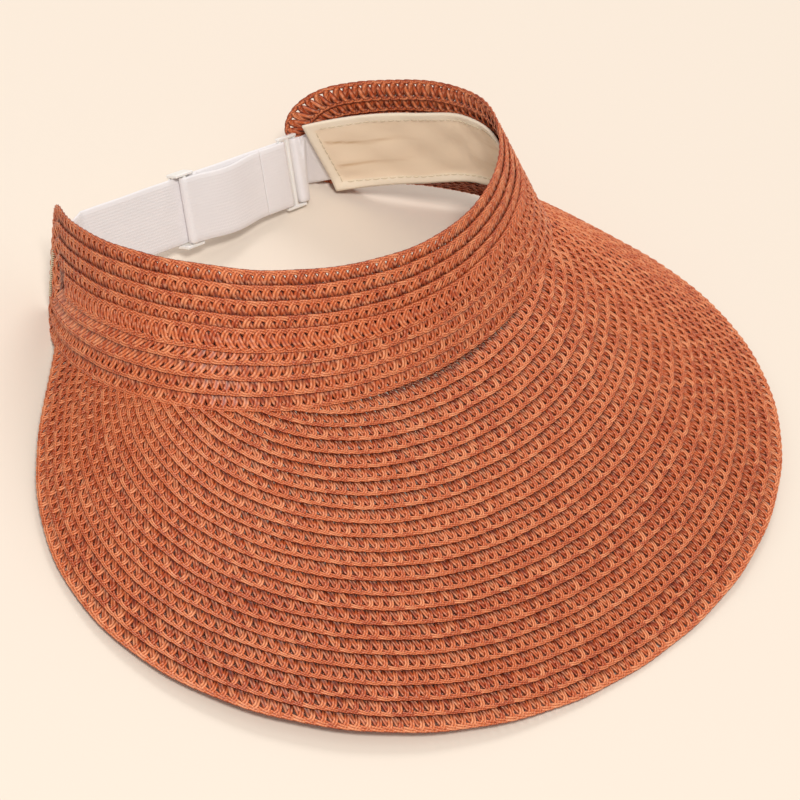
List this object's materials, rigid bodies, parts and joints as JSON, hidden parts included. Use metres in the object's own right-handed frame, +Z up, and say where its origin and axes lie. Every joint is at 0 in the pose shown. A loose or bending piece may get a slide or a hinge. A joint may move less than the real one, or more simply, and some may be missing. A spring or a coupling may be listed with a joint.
{
  "type": "sun visor",
  "caption": "Wide-brimmed, open-top sun visor of plaited paper-straw braid, with a cloth sweatband and an adjustable elastic strap behind.",
  "frame": {"origin": "centre of the bounding box on the surface the visor lies on: it rests on the brim's front edge and on the crown's two rear ends", "axes": "+X towards the wearer's left, -Y towards the front of the brim, +Z up from the table"},
  "size_m": [0.3166, 0.2671, 0.0921],
  "materials": {
    "braid": "terracotta paper straw, matte with a faint sheen",
    "sweatband": "beige woven cotton",
    "elastic": "white ribbed knit elastic",
    "plastic": "white moulded plastic, satin",
    "thread": "beige sewing thread"
  },
  "bodies": {
    "visor": {"crown_braid_1": "braid", "crown_braid_2": "braid", "crown_braid_3": "braid", "crown_braid_4": "braid", "crown_braid_5": "braid", "brim_braid_01": "braid", "brim_braid_02": "braid", "brim_braid_03": "braid", "brim_braid_04": "braid", "brim_braid_05": "braid", "brim_braid_06": "braid", "brim_braid_07": "braid", "brim_braid_08": "braid", "brim_braid_09": "braid", "brim_braid_10": "braid", "brim_braid_11": "braid", "brim_braid_12": "braid", "brim_braid_13": "braid", "brim_braid_14": "braid", "brim_braid_15": "braid", "brim_braid_16": "braid", "brim_braid_17": "braid", "brim_braid_18": "braid", "brim_braid_19": "braid", "brim_braid_20": "braid", "brim_braid_21": "braid", "brim_braid_22": "braid", "brim_braid_23": "braid", "sweatband": "sweatband", "elastic_strap": "elastic", "strap_return": "elastic", "ring_tab": "elastic", "bartack_right": "thread", "bartack_left": "thread"},
    "slider": {"strap_slider": "plastic"},
    "ring": {"strap_ring": "plastic", "strap_fold": "elastic"}
  },
  "joints": [
    {"name": "slider_slide", "type": "slide", "parent": "visor", "child": "slider", "axis": [0.9936, -0.0354, -0.1075], "range_m": [-0.036, 0.028], "deforming": ["strap_return"]},
    {"name": "ring_swivel", "type": "hinge", "parent": "visor", "child": "ring", "pos_m": [0.0557, 0.11694, 0.01377], "axis": [0.1077, 0.5887, 0.8011], "range_deg": [-10, 10], "stiffness_Nm_per_rad": 0.002}
  ]
}
